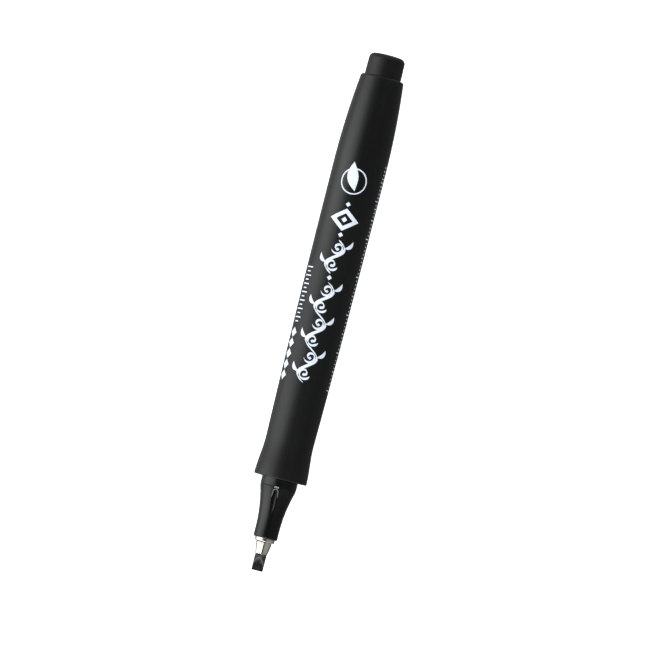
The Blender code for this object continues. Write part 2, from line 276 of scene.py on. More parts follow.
def make_section(plastic):
    """The nose, band and spigot, with vents cut into the cone and guides for the nib inside."""
    edge = 0.4 * MM
    groove = 0.12 * MM
    chamfer = 0.3 * MM
    ring = 1.8 * MM
    relief = SPIGOT_RADIUS - SPIGOT_RELIEF
    seat = COLLAR_RADIUS + FIT
    cavity_front = RIM - 0.9 * MM
    spigot_front = RIM + 0.4 * MM
    heights = evenly(SECTION_FRONT + edge, NECK, 6)[1:] + evenly(NECK, SEAM - 0.5 * groove, 40)[1:]
    outline = [(seat, SECTION_FRONT)]
    outline += rounding((NECK_RADIUS - edge, SECTION_FRONT + edge), edge, -90, 0, 8)
    outline += [(nose_radius(height), height) for height in heights]
    outline += [(NOSE_TOP_RADIUS - groove, SEAM), (BAND_RADIUS - groove, SEAM + groove)]
    outline += rounding((BAND_RADIUS - groove, SEAM + 2 * groove), groove, -70, 0, 4)
    outline += [(BAND_RADIUS, spigot_front), (SPIGOT_RADIUS, spigot_front + SPIGOT_RELIEF)]
    outline += [(SPIGOT_RADIUS, spigot_front + ring), (relief, spigot_front + ring + SPIGOT_RELIEF)]
    outline += [(relief, SECTION_BACK - ring - SPIGOT_RELIEF), (SPIGOT_RADIUS, SECTION_BACK - ring)]
    outline += [(SPIGOT_RADIUS, SECTION_BACK - chamfer), (SPIGOT_RADIUS - chamfer, SECTION_BACK)]
    outline += [(CAVITY_RADIUS, SECTION_BACK), (CAVITY_RADIUS, cavity_front + CAVITY_RADIUS - GUIDE_RADIUS)]
    outline += [(GUIDE_RADIUS, cavity_front), (GUIDE_RADIUS, FERRULE_BACK + FIT)]
    outline += [(seat, FERRULE_BACK + FIT)]
    section = revolve("section_nose", outline, plastic)
    inner, outer = NIB_RADIUS + 0.15 * MM, CAVITY_RADIUS + 0.4 * MM
    low, high = cavity_front + 3.0 * MM, SECTION_BACK - 2.0 * MM
    guides = fins("guides", GUIDE_COUNT, inner, outer, GUIDE_WIDTH, low, high)
    combine(section, "UNION", [guides])
    combine(section, "DIFFERENCE", vent_cutters(cavity_front))
    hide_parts("section")
    return section


def vent_cutters(cavity_front):
    """For each vent, a round-ended flute and the air hole that runs on from its head into the cavity."""
    crown = VENT_TOP - VENT_RADIUS
    front = VENT_TOP - VENT_LENGTH
    back = cavity_front + 2.5 * MM
    flute = [(0.0, front), (VENT_RADIUS, front)] + rounding((0.0, crown), VENT_RADIUS, 0, 84, 12)
    flute += [(0.0, VENT_TOP)]
    hole = [(0.0, crown), (AIR_HOLE_RADIUS, crown), (AIR_HOLE_RADIUS, back), (0.0, back)]
    tools = []
    for number in range(VENT_COUNT):
        turn = VENT_TURN + math.tau * number / VENT_COUNT
        tools.append(revolve("flute", flute, None, 48, VENT_FLOOR + VENT_RADIUS, turn))
        tools.append(revolve("air_hole", hole, None, 24, AIR_HOLE_FROM_AXIS, turn))
    return tools


def vent_rim(number, along):
    """A point on a vent's rim: along runs from -1 to 1 round the flute, foot to foot through its head."""
    turn = VENT_TURN + math.tau * number / VENT_COUNT
    crown = VENT_TOP - VENT_RADIUS
    half = 0.64 * MM  # of the rim's width at the flute's head
    reach = 1.5 * MM  # how far the raised rim runs down each side
    quarter = VENT_RADIUS * math.pi / 2
    run = abs(along) * (quarter + reach)
    angle = min(run / VENT_RADIUS, math.pi / 2)
    down = max(0.0, run - quarter)
    height = crown + VENT_RADIUS * math.cos(angle) - down
    radius = nose_radius(height)
    edge = math.sqrt(max(0.0, VENT_RADIUS**2 - (radius - VENT_FLOOR - VENT_RADIUS) ** 2))
    across = half * math.sin(angle) + (edge - half) * down / reach
    return place(height, turn + math.copysign(across, along) / radius, radius)


def make_vent_rims(plastic):
    """A thin raised bead round each vent's head that fades out down its sides."""
    steps, sides = 72, 12
    thickest, thinnest = 0.11 * MM, 0.004 * MM
    stride = 0.02
    work = bmesh.new()
    for number in range(VENT_COUNT):
        rings = []
        for step in range(steps + 1):
            along = 2 * step / steps - 1
            centre = vent_rim(number, along)
            ahead = vent_rim(number, min(1.0, along + stride))
            behind = vent_rim(number, max(-1.0, along - stride))
            outward = (centre - Vector((centre.x, 0.0, AXIS_Z))).normalized()
            sideways = (ahead - behind).cross(outward).normalized()
            radius = thickest * math.sqrt(1 - along * along) + thinnest
            ring = []
            for side in range(sides):
                angle = math.tau * side / sides
                offset = outward * math.sin(angle) + sideways * math.cos(angle)
                ring.append(work.verts.new(centre + radius * offset))
            rings.append(ring)
        for lower, upper in zip(rings, rings[1:]):
            for side in range(sides):
                after = (side + 1) % sides
                work.faces.new((lower[side], lower[after], upper[after], upper[side]))
        work.faces.new(rings[0])
        work.faces.new(rings[-1][::-1])
    return to_object(work, "vent_rims", plastic)


def make_vent_stops(plastic):
    """A small wedge over each vent, between its head and the seam, whose face leans towards the nib."""
    front, back = SEAM - 0.24 * MM, SEAM + 0.16 * MM
    half = 0.56 * MM
    proud = 0.13 * MM
    sunk = -0.25 * MM
    profile = [(front, sunk), (front, 0.01 * MM), (back - 0.05 * MM, proud), (back, proud), (back, sunk)]
    steps = 8
    work = bmesh.new()
    for number in range(VENT_COUNT):
        turn = VENT_TURN + math.tau * number / VENT_COUNT
        rungs = []
        for step in range(steps + 1):
            spot = turn + half * (2 * step / steps - 1) / NOSE_TOP_RADIUS
            points = [place(h, spot, nose_radius(min(h, SEAM)) + lift) for h, lift in profile]
            rungs.append([work.verts.new(point) for point in points])
        for near, far in zip(rungs, rungs[1:]):
            for corner in range(len(near)):
                after = (corner + 1) % len(near)
                work.faces.new((near[corner], near[after], far[after], far[corner]))
        work.faces.new(rungs[0])
        work.faces.new(rungs[-1][::-1])
    return to_object(work, "vent_stops", plastic)


def make_ferrule(metal):
    """The drawn sleeve: a cone with a rolled mouth, a step, a rounded collar and the tube behind it."""
    collar_edge = 0.28 * MM
    lip = 0.07 * MM
    step = 0.10 * MM  # how deep the groove under the collar is
    outline = rounding((MOUTH_RADIUS - 0.03 * MM - lip, FERRULE_FRONT + lip), lip, -180, 20, 10)
    outline += [(CONE_TOP_RADIUS, COLLAR_FRONT - 0.26 * MM)]
    outline += [(CONE_TOP_RADIUS - step, COLLAR_FRONT - 0.16 * MM)]
    outline += [(CONE_TOP_RADIUS - step, COLLAR_FRONT - 0.02 * MM), (CONE_TOP_RADIUS, COLLAR_FRONT)]
    outline += rounding((COLLAR_RADIUS - collar_edge, COLLAR_FRONT + collar_edge), collar_edge, -90, 0, 8)
    outline += [(COLLAR_RADIUS, FERRULE_BACK), (COLLAR_RADIUS - SHEET, FERRULE_BACK)]
    outline += [(COLLAR_RADIUS - SHEET, COLLAR_FRONT + collar_edge)]
    outline += [(COLLAR_RADIUS - 2 * SHEET, COLLAR_FRONT + SHEET)]
    outline += [(CONE_TOP_RADIUS - SHEET, COLLAR_FRONT + SHEET)]
    ferrule = revolve("ferrule_sleeve", outline, metal, LAP_SEGMENTS)
    for vertex in ferrule.data.vertices:
        across, up = vertex.co.y, vertex.co.z - AXIS_Z
        radius = math.hypot(across, up)
        lift = lap(math.atan2(across, up)) * (vertex.co.x - TIP_X < COLLAR_FRONT)
        vertex.co.y += lift * across / radius
        vertex.co.z += lift * up / radius
    ferrule.data.set_sharp_from_angle(angle=SHARP)
    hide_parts("ferrule")
    return ferrule


def lap(turn):
    """How far the ferrule's sheet stands out at an angle round it: a lap seam, steep on its -Y side."""
    proud, deep = 0.13 * MM, 0.05 * MM
    edge, foot = math.radians(2), math.radians(14)
    steep, notch_half = math.radians(2), math.radians(3)
    notch = deep * max(0.0, 1 - abs(turn - foot) / notch_half)
    if turn < edge:
        return proud * max(0.0, 1 - (edge - turn) / steep)
    return proud * max(0.0, 1 - (turn - edge) / (foot - edge)) - notch


def make_bush(plastic):
    """The white bush inside the ferrule's tube."""
    chamfer = 0.2 * MM
    inner = NIB_RADIUS + FIT
    outer = COLLAR_RADIUS - SHEET - FIT
    outline = [(inner + chamfer, BUSH_FRONT)]
    outline += rounding((outer - chamfer, BUSH_FRONT + chamfer), chamfer, -90, 0, 4)
    outline += [(outer, BUSH_BACK), (inner + chamfer, BUSH_BACK), (inner, BUSH_BACK - chamfer)]
    outline += [(inner, BUSH_FRONT + chamfer)]
    bush = revolve("nib_bush_sleeve", outline, plastic, FINE_SEGMENTS)
    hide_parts("nib_bush")
    return bush


CUT_BORDER = "cut_border"  # 1 along the curved line where the nib's flats meet its round


def softly_under(value, limit, blend):
    """The smaller of value and limit, with a rounded change from one to the other."""
    share = max(0.0, min(1.0, 0.5 + 0.5 * (limit - value) / blend))
    return limit + (value - limit) * share - blend * share * (1 - share)


def make_nib(fibre):
    """The fibre rod: two flats that meet in the writing edge, softened and a little rough from use."""
    wear = 0.09 * MM
    blend = 0.10 * MM
    border_width = 0.20 * MM
    point, point_taper = 2.2 * MM, 0.45
    roughness = 0.014 * MM
    fuzz_along, fuzz_across = 1.6, 5.0  # lumps in a millimetre
    cut_end = NIB_BEVEL + 0.4 * MM
    heights = evenly(0.0, wear, 4) + evenly(wear, cut_end, 64)[1:]
    heights += evenly(cut_end, NIB_LENGTH - point, 30)[1:]
    heights += evenly(NIB_LENGTH - point, NIB_LENGTH, 8)[1:]
    work = bmesh.new()
    border = work.verts.layers.float.new(CUT_BORDER)
    spin = Matrix.Rotation(NIB_TURN, 3, "X")
    rings = []
    for height in heights:
        worn = wear * (1 - math.sqrt(max(0.0, 1 - (1 - min(1.0, height / wear)) ** 2)))
        thin = NIB_EDGE_HALF + (NIB_RADIUS - NIB_EDGE_HALF) * height / NIB_BEVEL
        taper = 1 - point_taper * max(0.0, height - NIB_LENGTH + point) / point
        ring = []
        for step in range(FINE_SEGMENTS):
            angle = math.tau * (step + 0.5) / FINE_SEGMENTS
            across = (NIB_RADIUS - worn) * taper * math.sin(angle)
            up = (NIB_RADIUS - worn) * taper * math.cos(angle)
            nearness = 1 - abs(abs(up) - thin + worn) / border_width
            up = math.copysign(softly_under(abs(up), thin - worn, blend), up)
            point_here = Vector((0.0, across, up))
            fuzz_at = (height / MM * fuzz_along, across / MM * fuzz_across, up / MM * fuzz_across)
            fuzz = noise.noise(Vector(fuzz_at))
            point_here += point_here.normalized() * roughness * fuzz
            ring.append(work.verts.new(Vector((TIP_X + height, 0.0, AXIS_Z)) + spin @ point_here))
            ring[-1][border] = max(0.0, nearness)
        rings.append(ring)
    for lower, upper in zip(rings, rings[1:]):
        for step in range(FINE_SEGMENTS):
            after = (step + 1) % FINE_SEGMENTS
            work.faces.new((lower[step], lower[after], upper[after], upper[step]))
    for ring in (rings[0], rings[-1]):  # rungs across the flat end, from one side to the other
        half = FINE_SEGMENTS // 2
        for step in range(half - 1):
            work.faces.new((ring[step], ring[step + 1], ring[-2 - step], ring[-1 - step]))
    nib = to_object(work, "nib_rod", fibre)
    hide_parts("nib")
    return nib


def make_reservoir(fibre, film):
    """The fibre bundle with its socket for the nib, and the film round it."""
    inner_film = FILM_RADIUS - SHEET
    bundle = inner_film - FIT
    socket = NIB_RADIUS + FIT
    socket_end = NIB_LENGTH + 0.3 * MM
    edge = 0.4 * MM
    outline = [(0.0, socket_end), (socket, socket_end), (socket, FIBRE_FRONT)]
    outline += rounding((bundle - edge, FIBRE_FRONT + edge), edge, -90, 0, 5)
    outline += rounding((bundle - edge, FIBRE_BACK - edge), edge, 0, 90, 5)
    outline += [(0.0, FIBRE_BACK)]
    core = revolve("reservoir_core", outline, fibre, FINE_SEGMENTS)
    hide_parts("reservoir_fibre")
    outline = [(inner_film, FILM_FRONT), (FILM_RADIUS, FILM_FRONT)]
    outline += [(FILM_RADIUS, FILM_BACK), (inner_film, FILM_BACK)]
    wrap = revolve("reservoir_wrap", outline, film, FINE_SEGMENTS)
    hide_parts("reservoir_film")
    return core, wrap


# ---------------------------------------------------------------- print

INK_LIFT = 0.018 * MM
INK_SINK = 0.03 * MM
LAYER = 0.002 * MM  # a stroke over another lies this much higher
PEN_ANGLE = math.radians(38)  # of a broad pen's edge to the line of writing
HAIRLINE = 0.20 * MM
RUNG = 0.4 * MM  # the widest step across a ribbon of ink


def on_barrel(along, across, lift):
    """The point on the barrel's surface at a height and a distance round it from the top."""
    radius = barrel_radius(along)
    return place(along, across / radius, radius + lift)


def ribbon(work, path, widths, lift=0.0, closed=False):
    """A band of ink along path, a list of (along, across) points, as a thin closed solid on the barrel."""
    rungs = 2 + int(max(widths) / RUNG)
    last = len(path) - 1
    loops = []
    for step, (along, across) in enumerate(path):
        before = path[step - 1] if step or closed else path[0]
        after = path[(step + 1) % len(path)] if step < last or closed else path[last]
        run = Vector((after[0] - before[0], after[1] - before[1])).normalized()
        side = Vector((-run.y, run.x)) * widths[step]
        top, bottom = [], []
        for rung in range(rungs + 1):
            share = rung / rungs - 0.5
            spot = (along + side.x * share, across + side.y * share)
            top.append(work.verts.new(on_barrel(*spot, INK_LIFT + lift)))
            bottom.append(work.verts.new(on_barrel(*spot, -INK_SINK)))
        loops.append(top + bottom[::-1])
    pairs = list(zip(loops, loops[1:]))
    if closed:
        pairs.append((loops[-1], loops[0]))
    else:
        for loop in (loops[0], loops[-1]):
            work.faces.new(loop)
    count = len(loops[0])
    for near, far in pairs:
        for corner in range(count):
            after = (corner + 1) % count
            work.faces.new((near[corner], near[after], far[after], far[corner]))


def pen_widths(path, nib, taper=0.0):
    """How wide a broad pen held at a steady angle draws along path, thinning over the ends."""
    narrowest = 0.4 * HAIRLINE
    end_share = 0.25  # of the full width, at a tapered end
    widths = []
    last = len(path) - 1
    for step in range(len(path)):
        before, after = path[max(0, step - 1)], path[min(last, step + 1)]
        heading = math.atan2(after[1] - before[1], after[0] - before[0])
        width = HAIRLINE + (nib - HAIRLINE) * abs(math.sin(heading - PEN_ANGLE))
        near_end = min(1.0, min(step, last - step) / max(1.0, taper * last))
        share = end_share + (1 - end_share) * near_end if taper else 1.0
        widths.append(max(narrowest, width * share))
    return widths


def wave(start, end, length, reach, middle):
    """A sine wave of a given length and reach round a middle line."""
    spacing = 0.15 * MM
    steps = int((end - start) / spacing)
    path = []
    for step in range(steps + 1):
        along = start + (end - start) * step / steps
        path.append((along, middle + reach * math.sin(math.tau * (along - start) / length)))
    return path


def curl(centre, radius, start, turns, steps=44):
    """A spiral that winds in from a radius and an angle round its centre."""
    wind_in = 0.78
    path = []
    for step in range(steps + 1):
        share = step / steps
        angle = start + turns * math.tau * share
        reach = radius * (1 - wind_in * share)
        path.append((centre[0] + reach * math.cos(angle), centre[1] + reach * math.sin(angle)))
    return path


def bow(ends, bulge, steps=24):
    """An arc between two (along, across) ends that swings out sideways by bulge."""
    (from_along, from_across), (to_along, to_across) = ends
    run = Vector((to_along - from_along, to_across - from_across))
    side = Vector((-run.y, run.x)).normalized() * bulge
    path = []
    for step in range(steps + 1):
        share = step / steps
        swing = math.sin(math.pi * share)
        along = from_along + run.x * share + side.x * swing
        path.append((along, from_across + run.y * share + side.y * swing))
    return path


def leaf(work, ends, bulge, width, lift=0.0):
    """A pointed leaf: an arc that swells in its middle."""
    path = bow(ends, bulge)
    last = len(path) - 1
    finest = 0.06 * MM
    widths = [max(finest, width * math.sin(math.pi * step / last)) for step in range(last + 1)]
    ribbon(work, path, widths, lift)


def lozenge(work, along, across, size, lift=0.0):
    """A small square set on its corner, as one touch of a broad pen leaves."""
    steps = 12
    finest = 0.02 * MM
    path = [(along, across - size / 2 + size * step / steps) for step in range(steps + 1)]
    widths = [max(finest, size * (1 - abs(2 * step / steps - 1))) for step in range(steps + 1)]
    ribbon(work, path, widths, lift)


def vine(work, start, bends, nib):
    """A running scroll: a waving stem with a curl in each of its bends and a leaf outside it."""
    length, reach, middle = 8.8 * MM, 2.0 * MM, 0.55 * MM
    stem = wave(start, start + bends * length / 2, length, reach, middle)
    ribbon(work, stem, pen_widths(stem, nib, 0.03))
    for bend in range(bends):
        side = 1 if bend % 2 == 0 else -1
        along = start + (bend + 0.5) * length / 2
        centre = (along + 0.2 * MM, middle + side * 0.25 * MM)
        spiral = curl(centre, 1.65 * MM, side * math.radians(-110), side * -1.2)
        ribbon(work, spiral, pen_widths(spiral, 0.8 * nib, 0.06), LAYER)
        lozenge(work, *spiral[-1], 0.85 * MM, 2 * LAYER)
        foot = (along + 0.4 * MM, middle + side * (reach - 0.1 * MM))
        tip = (along + 2.6 * MM, middle + side * (reach + 1.8 * MM))
        leaf(work, (foot, tip), side * 0.6 * MM, 0.95 * MM, 3 * LAYER)


def make_vine(ink):
    """Two runs of scrollwork, where a pen maker prints a name."""
    work = bmesh.new()
    nib = 0.75 * MM
    vine(work, 49.4 * MM, 6, nib)
    lozenge(work, 77.0 * MM, 0.55 * MM, 1.3 * MM)
    vine(work, 78.1 * MM, 2, nib)
    return to_object(work, "print_vine", ink)


def make_diamond(ink):
    """A bold diamond with a small one inside it and one at each end, where the nib's width is told."""
    work = bmesh.new()
    middle = (92.3 * MM, 0.5 * MM)
    half_long, half_tall = 2.3 * MM, 3.0 * MM
    corners = [(half_long, 0.0), (0.0, half_tall), (-half_long, 0.0), (0.0, -half_tall)]
    corners = [(middle[0] + along, middle[1] + across) for along, across in corners]
    lean = math.atan2(half_tall, half_long)
    mitres = [1 / math.sin(lean), 1 / math.cos(lean)] * 2
    line = 1.0 * MM
    steps = 8
    outline, widths = [], []
    for mitre, near, far in zip(mitres, corners, corners[1:] + corners[:1]):
        outline += bow([near, far], 0.0, steps)[:-1]
        widths += [mitre * line] + [line] * (steps - 1)
    ribbon(work, outline, widths, closed=True)
    lozenge(work, *middle, 1.5 * MM)
    end_gap, end_size = 4.0 * MM, 1.3 * MM
    for side in (-1, 1):
        lozenge(work, middle[0] + side * end_gap, middle[1], end_size)
    return to_object(work, "print_diamond", ink)


def make_roundel(ink):
    """A thin ring round a leaf."""
    work = bmesh.new()
    centre = (102.4 * MM, 0.6 * MM)
    radius = 3.25 * MM
    line = 0.32 * MM
    steps = 96
    turns = [math.tau * step / steps for step in range(steps)]
    ring = [(centre[0] + radius * math.cos(a), centre[1] + radius * math.sin(a)) for a in turns]
    ribbon(work, ring, [line] * steps, closed=True)
    ends = [(centre[0] - 2.4 * MM, centre[1] - 0.8 * MM), (centre[0] + 4.9 * MM, centre[1] + 1.0 * MM)]
    leaf(work, ends, 0.45 * MM, 2.9 * MM, LAYER)
    return to_object(work, "print_roundel", ink)


def make_border(ink):
    """A row of lozenges and then of fine bars along the barrel's side."""
    work = bmesh.new()
    middle = 7.3 * MM
    lozenge_start, lozenge_pitch, lozenge_size = 50.3, 2.8, 2.6 * MM
    for number in range(5):
        lozenge(work, (lozenge_start + lozenge_pitch * number) * MM, middle, lozenge_size)
    bar_start, bar_pitch, bar_width = 64.4, 1.1, 0.32 * MM
    steps = 8
    for number in range(14):
        along = (bar_start + bar_pitch * number) * MM
        reach = 1.3 * MM if number % 2 else 0.7 * MM
        path = bow([(along, middle - reach), (along, middle + reach)], 0.0, steps)
        ribbon(work, path, [bar_width] * (steps + 1))
    return to_object(work, "print_border", ink)


def make_scale(ink):
    """A fine scale of millimetre ticks along the barrel's other side."""
    work = bmesh.new()
    foot = -9.0 * MM
    start, line = 49.0, 0.22 * MM
    steps = 4
    for number in range(60):
        along = (start + number) * MM
        reach = 1.6 * MM if number % 10 == 0 else (1.2 * MM if number % 5 == 0 else 0.9 * MM)
        path = bow([(along, foot), (along, foot + reach)], 0.0, steps)
        ribbon(work, path, [line] * (steps + 1))
    return to_object(work, "print_scale", ink)


# ---------------------------------------------------------------- materials


def add_node(tree, kind, inputs=None, **settings):
    """A node with its settings, and with its inputs set to values or fed by other nodes' outputs."""
    made = tree.nodes.new(kind)
    for name, value in settings.items():
        setattr(made, name, value)
    for name, value in (inputs or {}).items():
        if isinstance(value, bpy.types.NodeSocket):
            tree.links.new(value, made.inputs[name])
        else:
            made.inputs[name].default_value = value
    return made


def new_material(name):
    """A material, its node tree and its Principled shader."""
    made = bpy.data.materials.new(name)
    made.use_nodes = True
    return made, made.node_tree, made.node_tree.nodes["Principled BSDF"]


def grain(tree, size, stretch=(1, 1, 1), detail=3.0, rough=0.55):
    """Noise whose features are about size metres across, stretched along the axes."""
    where = add_node(tree, "ShaderNodeTexCoord").outputs["Object"]
    scale = [1 / (size * share) for share in stretch]
    scaled = add_node(tree, "ShaderNodeMapping", {"Vector": where, "Scale": scale})
    inputs = {"Vector": scaled.outputs["Vector"], "Scale": 1.0, "Detail": detail, "Roughness": rough}
    return add_node(tree, "ShaderNodeTexNoise", inputs).outputs["Fac"]


def spread(tree, value, low, high, at_low=0.3, at_high=0.7, smooth=False):
    """A value remapped so that at_low gives low and at_high gives high."""
    inputs = {"Value": value, "From Min": at_low, "From Max": at_high, "To Min": low, "To Max": high}
    made = add_node(tree, "ShaderNodeMapRange", inputs)
    made.interpolation_type = "SMOOTHSTEP" if smooth else "LINEAR"
    return made.outputs["Result"]


def mixed(tree, factor, first, second):
    """A colour between first and second."""
    mix = add_node(tree, "ShaderNodeMix", {0: factor}, data_type="RGBA")
    for index, colour in ((6, first), (7, second)):
        if isinstance(colour, bpy.types.NodeSocket):
            tree.links.new(colour, mix.inputs[index])
        else:
            mix.inputs[index].default_value = (*colour, 1.0)
    return mix.outputs[2]


def bumped(tree, height, distance, strength=1.0, after=None):
    """A bumped normal."""
    inputs = {"Height": height, "Distance": distance, "Strength": strength}
    if after:
        inputs["Normal"] = after
    return add_node(tree, "ShaderNodeBump", inputs).outputs["Normal"]


def feed(tree, shader, **sockets):
    """Links outputs to the shader's inputs, named with underscores for spaces."""
    for name, value in sockets.items():
        tree.links.new(value, shader.inputs[name.replace("_", " ")])


def moulded_plastic(name, colour, roughness, texture, depth, smoother=0.0, level=0.5):
    """Black moulded plastic: a fine spark-eroded texture, faint flow and handling marks, rubbed edges.
    It gets smoother towards the tail by the amount given, and level is how strongly it reflects."""
    made, tree, shader = new_material(name)
    handling = grain(tree, 2.4 * MM, (8, 1, 1), detail=5.0, rough=0.6)
    specks = grain(tree, texture, detail=2.0)
    swells = grain(tree, 0.8 * MM, detail=3.0)
    edges = add_node(tree, "ShaderNodeNewGeometry").outputs["Pointiness"]
    worn = spread(tree, edges, 0.0, 1.0, at_low=0.52, at_high=0.60)
    dark = [0.82 * part for part in colour]
    light = [1.22 * part for part in colour]
    rubbed = [2.0 * part for part in colour]
    base = mixed(tree, spread(tree, handling, 0.0, 1.0), dark, light)
    base = mixed(tree, worn, base, rubbed)
    vary = 0.035
    gloss = spread(tree, handling, roughness - vary, roughness + vary)
    where = add_node(tree, "ShaderNodeTexCoord").outputs["Object"]
    along = add_node(tree, "ShaderNodeSeparateXYZ", {0: where}).outputs["X"]
    polish = spread(tree, along, 0.0, smoother, at_low=0.0, at_high=40.0 * MM, smooth=True)
    gloss = add_node(tree, "ShaderNodeMath", {0: gloss, 1: polish}, operation="SUBTRACT").outputs["Value"]
    normal = bumped(tree, swells, 2.0 * depth)
    normal = bumped(tree, specks, depth, after=normal)
    feed(tree, shader, Base_Color=base, Roughness=gloss, Normal=normal)
    shader.inputs["Specular IOR Level"].default_value = level
    return made


def barrel_plastic():
    """The barrel's fine matte texture, a little smoother towards the tail."""
    colour = (0.0016, 0.0018, 0.0018)
    return moulded_plastic("barrel_plastic", colour, 0.46, texture=0.16 * MM, depth=0.006 * MM, smoother=0.10)


def plug_plastic():
    """The plug's matte black."""
    colour = (0.0018, 0.0018, 0.0018)
    return moulded_plastic("plug_plastic", colour, 0.48, texture=0.14 * MM, depth=0.005 * MM)


def section_plastic():
    """The section's semi-gloss black, nearly smooth."""
    colour = (0.0013, 0.0015, 0.0016)
    return moulded_plastic("section_plastic", colour, 0.27, texture=0.25 * MM, depth=0.002 * MM, level=0.40)


def vent_rim_painted_highlight():
    """A painted highlight on the vents: a pale bluish colour that stands in for the glint on their rims and
    stops.
    """
    # Pale bluish base colour: a painted highlight, not the plastic's own colour.
    colour = (0.085, 0.093, 0.105)
    return moulded_plastic("vent_rim_painted_highlight", colour, 0.24, texture=0.25 * MM, depth=0.001 * MM, level=0.6)


def ferrule_metal():
    """Bright nickel-coloured sheet with faint turning lines, small scuffs, and painted shade darkening the
    step under its collar towards +Y.
    """
    made, tree, shader = new_material("ferrule_metal")
    lines = grain(tree, 0.05 * MM, (1, 60, 60), detail=2.0)
    scuffs = grain(tree, 0.6 * MM, (2, 1, 1), detail=5.0, rough=0.65)
    scuffed = spread(tree, scuffs, 0.0, 1.0, at_low=0.35, at_high=0.75)
    base = mixed(tree, scuffed, (0.86, 0.81, 0.74), (0.70, 0.65, 0.58))
    where = add_node(tree, "ShaderNodeTexCoord").outputs["Object"]
    place_in = add_node(tree, "ShaderNodeSeparateXYZ", {0: where})
    from_step = {0: place_in.outputs["X"], 1: TIP_X + COLLAR_FRONT - 0.09 * MM}
    away = add_node(tree, "ShaderNodeMath", from_step, operation="SUBTRACT").outputs["Value"]
    away = add_node(tree, "ShaderNodeMath", {0: away}, operation="ABSOLUTE").outputs["Value"]
    # Painted shade: a dark band in the recessed step under the collar, kept to the +Y side.
    painted_step_shade = spread(tree, away, 0.9, 0.0, at_low=0.08 * MM, at_high=0.17 * MM)
    side = spread(tree, place_in.outputs["Y"], 0.0, 1.0, at_low=-0.8 * MM, at_high=0.2 * MM)
    painted_step_shade = add_node(tree, "ShaderNodeMath", {0: painted_step_shade, 1: side}, operation="MULTIPLY").outputs["Value"]
    base = mixed(tree, painted_step_shade, base, (0.05, 0.045, 0.045))
    gloss = spread(tree, scuffs, 0.13, 0.24)
    feed(tree, shader, Base_Color=base, Roughness=gloss, Normal=bumped(tree, lines, 0.002 * MM, 0.6))
    shader.inputs["Metallic"].default_value = 1.0
    return made


def nib_fibre():
    """Ink-soaked bonded fibre: streaks along the rod, a mottled tip, a wet edge and a painted highlight along
    the cut borders.
    """
    made, tree, shader = new_material("nib_fibre")
    strands = grain(tree, 0.10 * MM, (9, 1, 1), detail=3.0, rough=0.6)
    mottle = grain(tree, 0.75 * MM, (1.1, 1, 1), detail=3.0, rough=0.65)
    where = add_node(tree, "ShaderNodeTexCoord").outputs["Object"]
    along = add_node(tree, "ShaderNodeSeparateXYZ", {0: where}).outputs["X"]
    wander = spread(tree, mottle, -0.5 * MM, 0.5 * MM)
    along = add_node(tree, "ShaderNodeMath", {0: along, 1: wander}, operation="ADD").outputs["Value"]
    wet = spread(tree, along, 1.0, 0.0, at_low=TIP_X + 1.7 * MM, at_high=TIP_X + 2.5 * MM)
    border = add_node(tree, "ShaderNodeAttribute", attribute_name=CUT_BORDER).outputs["Fac"]
    clouds = spread(tree, mottle, 0.0, 1.0, at_low=0.42, at_high=0.62)
    calm = spread(tree, along, 0.0, 0.8, TIP_X + 4.0 * MM, TIP_X + 9.0 * MM, smooth=True)
    pale = spread(tree, strands, 0.0, 0.45, at_low=0.4, at_high=0.75)
    soaked = spread(tree, wet, 0.0, 0.75, at_low=0.0, at_high=1.0)
    # Painted highlight: a paler colour along the edge where the flats meet the round.
    painted_border_highlight = spread(tree, border, 0.0, 0.85, at_low=0.0, at_high=1.0)
    base = mixed(tree, clouds, (0.002, 0.002, 0.002), (0.044, 0.046, 0.046))
    base = mixed(tree, calm, base, (0.020, 0.021, 0.021))
    base = mixed(tree, pale, base, (0.045, 0.046, 0.047))
    base = mixed(tree, soaked, base, (0.003, 0.003, 0.003))
    base = mixed(tree, painted_border_highlight, base, (0.095, 0.100, 0.102))
    gloss = spread(tree, mottle, 0.7, 0.95)
    normal = bumped(tree, strands, 0.05 * MM)
    dents = add_node(tree, "ShaderNodeMath", {0: 1.0, 1: calm}, operation="SUBTRACT").outputs["Value"]
    dents = add_node(tree, "ShaderNodeMath", {0: mottle, 1: dents}, operation="MULTIPLY").outputs["Value"]
    normal = bumped(tree, dents, 0.10 * MM, after=normal)
    feed(tree, shader, Base_Color=base, Roughness=gloss, Normal=normal)
    shader.inputs["Specular IOR Level"].default_value = 0.1
    return made


def white_bush():
    """Natural white moulded plastic, stained by ink in patches."""
    made, tree, shader = new_material("bush_plastic")
    stain = grain(tree, 1.4 * MM, (1.5, 1, 1), detail=4.0)
    stained = spread(tree, stain, 0.0, 1.0, at_low=0.5, at_high=0.75)
    base = mixed(tree, stained, (0.72, 0.71, 0.67), (0.16, 0.16, 0.18))
    normal = bumped(tree, grain(tree, 0.08 * MM), 0.004 * MM)
    feed(tree, shader, Base_Color=base, Roughness=spread(tree, stain, 0.38, 0.5), Normal=normal)
    return made


def inked_fibre():
    """The reservoir's bundle: fine strands along its length, soaked black with a blue cast."""
    made, tree, shader = new_material("inked_fibre")
    strands = grain(tree, 0.30 * MM, (60, 1, 1), detail=2.0)
    wet = grain(tree, 6.0 * MM, (2, 1, 1))
    base = mixed(tree, spread(tree, strands, 0.0, 1.0), (0.004, 0.004, 0.006), (0.032, 0.032, 0.042))
    normal = bumped(tree, strands, 0.02 * MM)
    feed(tree, shader, Base_Color=base, Roughness=spread(tree, wet, 0.55, 0.85), Normal=normal)
    return made


